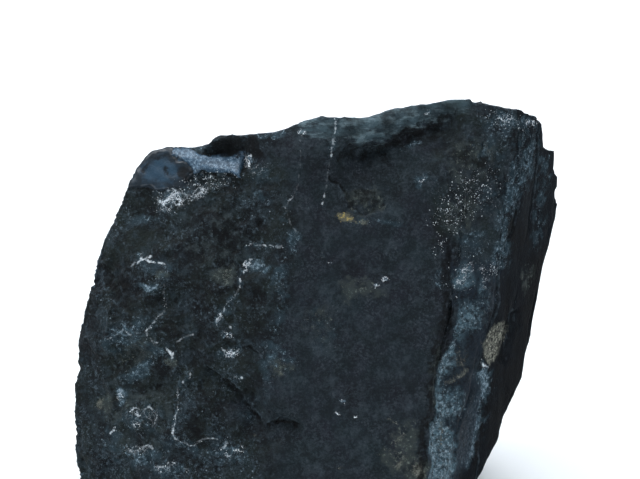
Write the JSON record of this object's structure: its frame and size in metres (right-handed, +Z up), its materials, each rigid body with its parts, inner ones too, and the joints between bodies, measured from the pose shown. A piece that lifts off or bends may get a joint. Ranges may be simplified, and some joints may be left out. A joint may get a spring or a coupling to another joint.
{
  "type": "raw black silica stone",
  "caption": "Fist-sized lump of raw black silica rock with a broad smooth face, a rough left side, a mineral-coated joint on the right and a glossy broken corner.",
  "frame": {"origin": "on the ground under the middle of the stone's box", "axes": "+Z up, -Y towards the viewer of the broad face, +X to that viewer's right"},
  "size_m": [0.1129, 0.0647, 0.0974],
  "materials": {
    "black_silica": "satin, with glossy fresh breaks",
    "quartz": "small glassy white grains"
  },
  "bodies": {
    "root": {"stone": "black_silica"}
  },
  "joints": []
}
